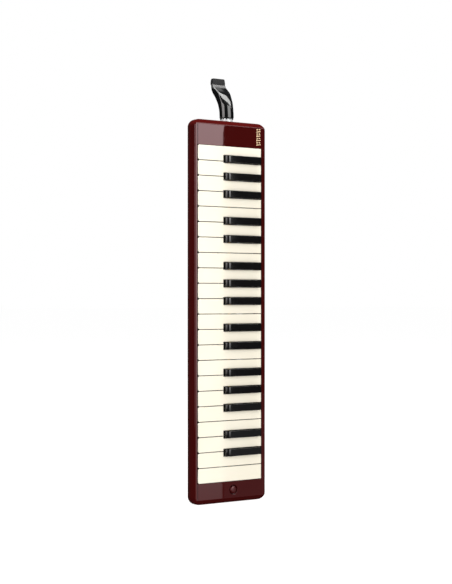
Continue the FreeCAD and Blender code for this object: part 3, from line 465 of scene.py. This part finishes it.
def drain_button():
    """A domed button on its stem, with a foot at the stem's end."""
    skirt, stem_end = DECK_Y + 3.8 * MM, button_high[1]
    stations = [(button_low[1] + depth * MM, radius) for depth, radius in CAP_PROFILE]
    stations += [(skirt, 4.4), (skirt, 1.5)]
    stations += [(stem_end - 0.6 * MM, 1.5), (stem_end - 0.6 * MM, 2.3), (stem_end, 2.3)]
    rings = [
        [Vector((BUTTON_X + radius * MM * c, y, BUTTON_Z + radius * MM * s)) for c, s in ROUND]
        for y, radius in stations
    ]
    button = lofted("drain_button_cap", rings, materials["button"])
    smooth_by_weight(button)
    declare(button, "drain_button", "button_plastic", "drain_button")


drain_button()

# ---------------------------------------------------------------- mouthpiece


def smooth_step(value, low, high):
    """0 below low, 1 above high, eased between."""
    share = min(max((value - low) / (high - low), 0.0), 1.0)
    return share * share * (3 - 2 * share)


def smooth_fall(value, low, high):
    """1 below low, 0 above high, eased between."""
    return smooth_step(-value, -high, -low)


TUBE_BASE = mouth_low[2] + 24.0 * MM
REAR_LIMIT = mouth_high[1] - INLET_Y
HALF_LIMIT = (mouth_high[0] - mouth_low[0]) / 2

# height over the tube's base, back, front of the round part, facet, half width and squareness, in mm
STATIONS = (
    (0.0, 8.0, -8.0, -9.5, 8.0, 0.0),
    (4.0, 8.1, -7.9, -9.3, 8.0, 0.0),
    (8.5, 8.7, -7.5, -8.6, 8.0, 0.0),
    (12.0, 9.6, -7.0, -7.2, 8.05, 0.02),
    (16.5, 11.2, -6.0, -4.2, 8.15, 0.08),
    (20.5, 13.2, -4.2, -1.6, 8.3, 0.16),
    (25.0, 15.6, -1.6, 1.4, 8.55, 0.28),
    (29.0, 17.7, 1.2, 4.9, 8.75, 0.56),
    (32.5, 18.7, 5.0, 8.9, 8.8, 0.82),
    (35.5, 18.8, 8.6, 12.2, 8.8, 0.92),
    (38.6, 18.8, 11.6, 14.2, 8.75, 0.92),
    (40.0, 18.8, 12.4, 14.5, 8.7, 0.92),
)
LEVELS = 64  # steps up the shell
TURNS, FLATS = 44, 23  # steps round the back of a section, and across its facet


def station(height):
    """The profile at a height, on a smooth curve through the stations."""
    last = len(STATIONS) - 2
    place = next((n for n in range(last) if STATIONS[n + 1][0] >= height), last)
    before, low, high, after = (STATIONS[min(max(place + n, 0), last + 1)] for n in (-1, 0, 1, 2))
    span = high[0] - low[0]
    share = (height - low[0]) / span
    made = []
    for column in range(1, len(low)):
        slope_low = (high[column] - before[column]) / max(high[0] - before[0], 1e-6)
        slope_high = (after[column] - low[column]) / max(after[0] - low[0], 1e-6)
        a, b = share * share * (3 - 2 * share), share * (1 - share)
        value = low[column] * (1 - a) + high[column] * a
        made.append(value + b * ((1 - share) * slope_low - share * slope_high) * span)
    return made


def mouth_section(height):
    """One level section of the mouthpiece: a round back, and a flat front where the facet cuts in."""
    rear, front, facet, half, square = station(height)
    rear, half = min(rear * MM, REAR_LIMIT), min(half * MM, HALF_LIMIT)
    front, facet = front * MM, facet * MM
    middle, depth = (front + rear) / 2, (rear - front) / 2
    power = 1.0 - 0.75 * square
    lowest = min(max((facet - middle) / depth, -0.9995), 0.95)
    start = math.asin(math.copysign(abs(lowest) ** (1 / power), lowest))
    ring = []
    for place in range(TURNS + 1):
        angle = start + (math.pi - 2 * start) * place / TURNS
        cosine, sine = math.cos(angle), math.sin(angle)
        x = half * math.copysign(abs(cosine) ** power, cosine)
        y = depth * math.copysign(abs(sine) ** power, sine)
        ring.append(Vector((INLET_X + x, INLET_Y + middle + y, TUBE_BASE + height * MM)))
    left, right = ring[-1], ring[0]
    return ring + [left.lerp(right, place / FLATS) for place in range(1, FLATS)]


# where a highlight is painted on the facet: height ranges in mm over the tube's base
CRESCENT_FOOT = (12.0, 14.5)
CRESCENT_LEFT_MOVES = (14.5, 24.0)
CRESCENT_SPREADS = (24.0, 30.0)
CRESCENT_SPREADS_ON = (18.0, 24.0)
BAND_STARTS = (35.0, 36.2)
CORNER_STARTS = (29.0, 33.0)
# and how far its borders get across the facet, as shares of its width
LEFT_SHIFT, LINE_SHARE, SPREAD, SPREAD_ON = 0.5, 0.06, 0.54, 0.14
LEFT_BLUR, RIGHT_BLUR = 0.1, 0.05
CORNER_FADES = (0.4, 0.7)
BAND_PALE, CORNER_PALE = 0.6, 0.18


def painted_highlight_at(height, share):
    """How much painted highlight the facet has: a crescent from its upper left edge to its foot, and a band
    under the tip.
    """
    left = LEFT_SHIFT * smooth_fall(height, *CRESCENT_LEFT_MOVES)
    right = LINE_SHARE + SPREAD * smooth_fall(height, *CRESCENT_SPREADS)
    right += SPREAD_ON * smooth_fall(height, *CRESCENT_SPREADS_ON)
    crescent = smooth_step(share, left - LEFT_BLUR, left)
    crescent *= 1 - smooth_step(share, right - RIGHT_BLUR, right + RIGHT_BLUR)
    crescent *= smooth_step(height, *CRESCENT_FOOT)
    band = smooth_step(height, *BAND_STARTS) * BAND_PALE
    corner = smooth_step(height, *CORNER_STARTS) * (1 - smooth_step(share, *CORNER_FADES)) * CORNER_PALE
    return max(crescent, band, corner)


def mouthpiece_shell():
    """The tube that bends back into a flat blade, with a highlight painted on its facet as a vertex
    attribute.
    """
    heights = [STATIONS[-1][0] * n / LEVELS for n in range(LEVELS + 1)]
    shell = lofted("mouthpiece_shell", [mouth_section(height) for height in heights], materials["mouth"])
    painted_highlight = shell.data.attributes.new("painted_highlight", "FLOAT", "POINT")
    count = TURNS + FLATS
    for level, height in enumerate(heights):
        for place in range(FLATS + 1):
            spot = level * count + (TURNS + place) % count
            painted_highlight.data[spot].value = painted_highlight_at(height, place / FLATS)
    soften(shell, 0.45 * MM, 3, 30.0)
    declare(shell, "mouthpiece", "mouthpiece_plastic", "mouthpiece")


def mouthpiece_spigot():
    """The round spigot under the tube, which plugs into the inlet."""
    low = mouth_low[2]
    stations = ((low, 4.3), (low + 0.4 * MM, 4.55), (TUBE_BASE - 1.0 * MM, 4.6), (TUBE_BASE + 0.5 * MM, 4.6))
    rings = [
        [Vector((INLET_X + radius * MM * c, INLET_Y + radius * MM * s, z)) for c, s in ROUND]
        for z, radius in stations
    ]
    spigot = lofted("mouthpiece_spigot", rings, materials["mouth"])
    smooth_by_weight(spigot)
    declare(spigot, "mouthpiece", "mouthpiece_plastic", "mouthpiece")


RIBS = 12
RIB_PHASE = 0.77  # the first rib's place, as a share of the pitch
RIB_HALF_TURN = 0.15
RIB_LOW, RIB_HIGH = TUBE_BASE - 2.3 * MM, TUBE_BASE + 0.8 * MM


def foot_ribs():
    """Short ribs round the foot of the tube, each a wedge that reaches down outside the collar."""
    inner = (collar_high[0] - collar_low[0]) / 2 + 0.2 * MM
    narrow = RIB_HALF_TURN * 0.8
    vertices, faces = [], []
    for rib in range(RIBS):
        middle = 2 * math.pi * (rib + RIB_PHASE) / RIBS
        start = len(vertices)
        for z, outer in ((RIB_LOW, 7.4 * MM), (RIB_HIGH, 7.9 * MM)):
            for radius, turn in (
                (inner, -RIB_HALF_TURN), (outer, -narrow), (outer, narrow), (inner, RIB_HALF_TURN)
            ):
                a = middle + turn
                vertices.append((INLET_X + radius * math.cos(a), INLET_Y + radius * math.sin(a), z))
        for side in range(4):
            n = (side + 1) % 4
            faces.append((start + side, start + n, start + 4 + n, start + 4 + side))
        faces += [tuple(start + n for n in (0, 1, 2, 3)), tuple(start + 4 + n for n in (3, 2, 1, 0))]
    mesh = mesh_from("mouthpiece_foot_ribs", vertices, faces)
    ribs = new_object("mouthpiece_foot_ribs", mesh, materials["mouth"])
    soften(ribs, 0.25 * MM, 2)
    declare(ribs, "mouthpiece", "mouthpiece_plastic", "mouthpiece")


# share of the tip's height, and how far its sides lie inside the CAD box there, in mm
TIP_PROFILE = ((0.0, 0.12), (0.35, 0.05), (0.7, 0.35), (1.0, 0.95))
BREATH_HALF_X, BREATH_HALF_Y, BREATH_DEPTH = 5.5 * MM, 0.8 * MM, 5.0 * MM


def tip_block():
    """The tip: a flat block that narrows a little upwards, with the breath slot in its top."""
    low, high = tip_low, tip_high
    rings = []
    for share, inset_mm in TIP_PROFILE:
        inset = inset_mm * MM
        y0, y1 = low[1] + inset * 0.4, high[1] - inset * 0.4
        rings.append(rectangle(low[0] + inset, high[0] - inset, y0, y1, low[2] + (high[2] - low[2]) * share))
    middle = (low[1] + high[1]) / 2
    for z in (high[2], high[2] - BREATH_DEPTH):
        x0, x1 = INLET_X - BREATH_HALF_X, INLET_X + BREATH_HALF_X
        rings.append(rectangle(x0, x1, middle - BREATH_HALF_Y, middle + BREATH_HALF_Y, z))
    block = lofted("mouthpiece_tip_block", rings, materials["tip"])
    soften(block, 0.5 * MM, 3, 40.0)
    declare(block, "mouthpiece", "tip_plastic", "mouthpiece_tip")


mouthpiece_shell()
mouthpiece_spigot()
foot_ribs()
tip_block()

# ---------------------------------------------------------------- ornament on the deck

ORNAMENT_X, ORNAMENT_LOW, ORNAMENT_PITCH = 39.0 * MM, 400.9 * MM, 2.45 * MM
ORNAMENT_MARKS = 8


def deck_ornament():
    """A column of small gold lozenges and bars, hot-foiled on the deck at the bass end."""
    vertices, faces = [], []

    def flat(corners):
        """A plate from just over the deck's face to just under it."""
        start = len(vertices)
        vertices.extend((x, DECK_Y - 0.03 * MM, z) for x, z in corners)
        vertices.extend((x, DECK_Y + 0.02 * MM, z) for x, z in corners)
        count = len(corners)
        faces.append(tuple(range(start, start + count)))
        faces.append(tuple(range(start + 2 * count - 1, start + count - 1, -1)))
        for n in range(count):
            following = (n + 1) % count
            faces.append((start + n, start + count + n, start + count + following, start + following))

    def lozenge(x, z, half_x, half_z):
        flat([(x - half_x, z), (x, z - half_z), (x + half_x, z), (x, z + half_z)])

    def bar(x, z, half_x, half_z, lean):
        flat([
            (x - half_x, z - half_z - lean), (x + half_x, z - half_z + lean),
            (x + half_x, z + half_z + lean), (x - half_x, z + half_z - lean),
        ])

    for place in range(ORNAMENT_MARKS):
        z = ORNAMENT_LOW + place * ORNAMENT_PITCH
        if place % 2 == 0:
            bar(ORNAMENT_X, z, 3.0 * MM, 0.42 * MM, 0.5 * MM)
            lozenge(ORNAMENT_X - 1.9 * MM, z + 1.0 * MM, 0.8 * MM, 0.5 * MM)
        else:
            lozenge(ORNAMENT_X - 1.7 * MM, z, 1.2 * MM, 0.75 * MM)
            lozenge(ORNAMENT_X + 1.4 * MM, z, 1.5 * MM, 0.75 * MM)
    mesh = mesh_from("deck_foil_ornament", vertices, faces)
    made = new_object("deck_foil_ornament", mesh, materials["gold"])
    declare(made, "case", "case_plastic")


deck_ornament()

# ---------------------------------------------------------------- hand strap

STRAP_THICK = 1.6 * MM
STRAP_HALF = (strap_high[0] - strap_low[0]) / 2
STRAP_FOOT = 16.0 * MM
STRAP_RAMP = 24.0 * MM
STRAP_STEPS = 150
BAND_STEPS = 14  # steps across each face of the band
STITCH_PITCH, STITCH_HALF, THREAD_RADIUS = 3.0 * MM, 1.05 * MM, 0.24 * MM
STITCH_INSET = 3.0 * MM
THREAD_SIDES = 8
# places along a stitch's half length, and the thread's size there
STITCH_PROFILE = ((-1, 0.25), (-0.6, 0.9), (0, 1.1), (0.6, 0.9), (1, 0.25))


def strap_line():
    """The strap's middle line from one end to the other: flat feet and a smooth arch."""
    under = strap_low[1] + STRAP_THICK / 2 + 0.1 * MM
    crown = strap_high[1] - STRAP_THICK / 2 - 0.25 * MM
    low, high = strap_low[2] + 0.4 * MM, strap_high[2] - 0.4 * MM
    points = []
    for place in range(STRAP_STEPS + 1):
        z = low + (high - low) * place / STRAP_STEPS
        rise = smooth_step(z, low + STRAP_FOOT, low + STRAP_FOOT + STRAP_RAMP)
        fall = smooth_step(z, high - STRAP_FOOT - STRAP_RAMP, high - STRAP_FOOT)
        points.append(Vector((0.0, under + (crown - under) * (rise - fall), z)))
    return points


def outward(along):
    """The strap's outward normal where its line runs along this way."""
    return Vector((0.0, along.z, -along.y)).normalized()


def strap_band(line):
    """The woven band, a little thicker at its edges where the weft turns back."""
    rings = []
    for place, point in enumerate(line):
        normal = outward(line[min(place + 1, len(line) - 1)] - line[max(place - 1, 0)])
        ring = []
        for side in (1, -1):
            for step in range(BAND_STEPS + 1):
                share = (step / BAND_STEPS * 2 - 1) * side
                edge = 1.0 if abs(share) < 0.86 else 1.12 - 0.9 * max(0.0, (abs(share) - 0.94) / 0.06)
                half = STRAP_THICK / 2 * edge
                ring.append(point + Vector((share * STRAP_HALF, 0, 0)) + normal * half * side)
        rings.append(ring)
    band = lofted("hand_strap_band", rings, materials["webbing"])
    smooth_by_weight(band)
    return declare(band, "case", "strap_webbing", "hand_strap")


def strap_stitches(line):
    """Rows of thread along both edges of the band, each stitch a short raised capsule."""
    vertices, faces = [], []
    count = THREAD_SIDES

    def stitch(centre, along, normal):
        start = len(vertices)
        for shift, size in STITCH_PROFILE:
            for n in range(count):
                turn = 2 * math.pi * n / count
                offset = Vector((math.cos(turn), 0, 0)) + normal * math.sin(turn) * 0.7
                vertices.append(centre + along * shift * STITCH_HALF + offset * THREAD_RADIUS * size)
        last = len(STITCH_PROFILE) - 1
        for level in range(last):
            for n in range(count):
                m = (n + 1) % count
                low, high = start + level * count, start + (level + 1) * count
                faces.append((low + n, low + m, high + m, high + n))
        faces.append(tuple(start + n for n in range(count)))
        faces.append(tuple(start + last * count + n for n in range(count)))

    travelled, wanted = 0.0, 2.0 * MM
    for a, b in zip(line, line[1:]):
        step = (b - a).length
        along = (b - a).normalized()
        normal = outward(along)
        while wanted <= travelled + step:
            middle = a.lerp(b, (wanted - travelled) / step)
            for row in (-1, 1):
                across = Vector((row * (STRAP_HALF - STITCH_INSET), 0, 0))
                stitch(middle + across + normal * STRAP_THICK / 2, along, normal)
            wanted += STITCH_PITCH
        travelled += step
    mesh = mesh_from("hand_strap_stitches", vertices, faces)
    mesh.shade_smooth()
    made = new_object("hand_strap_stitches", mesh, materials["thread"])
    return declare(made, "case", "strap_webbing")


middle_line = strap_line()
band = strap_band(middle_line)
stitches = strap_stitches(middle_line)

# ---------------------------------------------------------------- camera, floor and light

CAMERA_TURN = math.radians(37.0)
CAMERA_PLACE = (-1.0175, -1.3567, 0.2270)
camera_data = bpy.data.cameras.new("camera")
camera_data.sensor_width = 36.0
camera_data.lens = 93.1
camera_data.shift_y = 0.0116
camera = bpy.data.objects.new("camera", camera_data)
camera.location = CAMERA_PLACE
camera.rotation_euler = (math.radians(90), 0, -CAMERA_TURN)
scene.collection.objects.link(camera)
scene.camera = camera

FLOOR_HALF = 30.0
FLOOR_WHITE = (0.12, 0.12, 0.12)
# centre, the point it faces, size and power in watts
AREA_LIGHTS = {
    "front_key": ((-2.0, -1.9, 0.3), (0, 0, 0.22), (1.4, 2.8), 62.0),
    "front_fill": ((0.4, -2.6, 0.3), (0, 0, 0.22), (1.6, 2.8), 20.0),
    "top_key": ((0.0, 0.1, 2.4), (0, 0, 0.2), (0.9, 0.9), 150.0),
}
WORLD_WHITE, WORLD_FILL, WORLD_GLOSSY = 1.0, 0.42, 0.02


def floor_material():
    """A matt floor that glows a little, so that it stays white out to the horizon."""
    made = Nodes("floor_white")
    mottled(made, place_source(made), FLOOR_WHITE, tuple(c * 0.985 for c in FLOOR_WHITE), 2.0)
    made.set(Roughness=0.9, Emission_Color=(1, 1, 1, 1), Emission_Strength=0.95)
    return made.material


corners = rectangle(-FLOOR_HALF, FLOOR_HALF, -FLOOR_HALF, FLOOR_HALF, 0)
floor = new_object("floor", mesh_from("floor", corners, [(0, 1, 2, 3)]), floor_material())
floor.visible_glossy = False
floor.visible_diffuse = False
floor.visible_shadow = False

for name, (place, target, size, power) in AREA_LIGHTS.items():
    data = bpy.data.lights.new(name, "AREA")
    data.shape = "RECTANGLE"
    data.size, data.size_y = size
    data.energy = power
    light = bpy.data.objects.new(name, data)
    light.location = place
    light.rotation_euler = (Vector(target) - Vector(place)).to_track_quat("-Z", "Y").to_euler()
    light.visible_glossy = False
    scene.collection.objects.link(light)


def softbox(name, corners, colour, start, end=1.0):
    """A panel seen only in reflections, dark at the share `start` of its height and full from `end` on."""
    made = Nodes(name)
    made.tree.nodes.remove(made.shader)
    coordinates = made.add("ShaderNodeTexCoord")
    split = made.add("ShaderNodeSeparateXYZ")
    made.join(coordinates, split.inputs[0])
    spread = made.add("ShaderNodeMapRange", From_Min=start, From_Max=end)
    made.join(split, spread.inputs["Value"], output=2)
    glow = made.add("ShaderNodeEmission", Color=(*colour, 1))
    made.join(spread, glow.inputs["Strength"])
    made.join(glow, made.tree.nodes["Material Output"].inputs["Surface"])
    panel = new_object(name, mesh_from(name, corners, [(0, 1, 2, 3)]), made.material)
    panel.visible_camera = False
    panel.visible_diffuse = False
    panel.visible_transmission = False
    panel.visible_shadow = False


def upright(x0, y0, x1, y1, z0, z1):
    """The corners of an upright panel between two points in plan."""
    return [(x0, y0, z0), (x1, y1, z0), (x1, y1, z1), (x0, y0, z1)]


# The right edge leans a little, as its reflection does across the deck.
FRONT_CORNERS = [(-0.35, -1.5, -0.6), (1.099, -1.5, -0.6), (1.112, -1.5, 1.5), (-0.35, -1.5, 1.5)]
softbox("box_front", FRONT_CORNERS, (6.0, 5.95, 5.9), 0.07, 0.643)
softbox("box_left", upright(-1.6, -0.6, -1.6, 0.6, -0.1, 1.0), (7.0, 6.6, 6.6), -0.2)
softbox("box_mid", upright(0.7, -1.2, 1.9, -1.2, 1.15, 1.45), (9.0, 8.8, 8.8), -1.0)
softbox("box_high", upright(0.6, -0.9, 2.2, -0.9, 1.45, 2.9), (3.2, 3.0, 3.0), -1.0)
softbox("box_low", upright(1.106, -1.5, 2.8, -1.5, -0.7, 0.0), (0.7, 0.7, 0.72), 1.2, -0.2)


def make_world():
    """White to the camera, a soft even fill on surfaces, and a dark room in reflections."""
    world = bpy.data.worlds.new("studio")
    scene.world = world
    world.use_nodes = True
    tree = world.node_tree
    paths = tree.nodes.new("ShaderNodeLightPath")

    def white(strength):
        shade = tree.nodes.new("ShaderNodeBackground")
        shade.inputs["Color"].default_value = (1, 1, 1, 1)
        shade.inputs["Strength"].default_value = strength
        return shade

    def either(ray, others, these):
        """One shader for rays of this kind, and another for the rest."""
        mix = tree.nodes.new("ShaderNodeMixShader")
        tree.links.new(paths.outputs[ray], mix.inputs["Fac"])
        tree.links.new(others.outputs[0], mix.inputs[1])
        tree.links.new(these.outputs[0], mix.inputs[2])
        return mix

    reflect = either("Is Glossy Ray", white(WORLD_FILL), white(WORLD_GLOSSY))
    seen = either("Is Camera Ray", reflect, white(WORLD_WHITE))
    tree.links.new(seen.outputs[0], tree.nodes["World Output"].inputs["Surface"])


make_world()
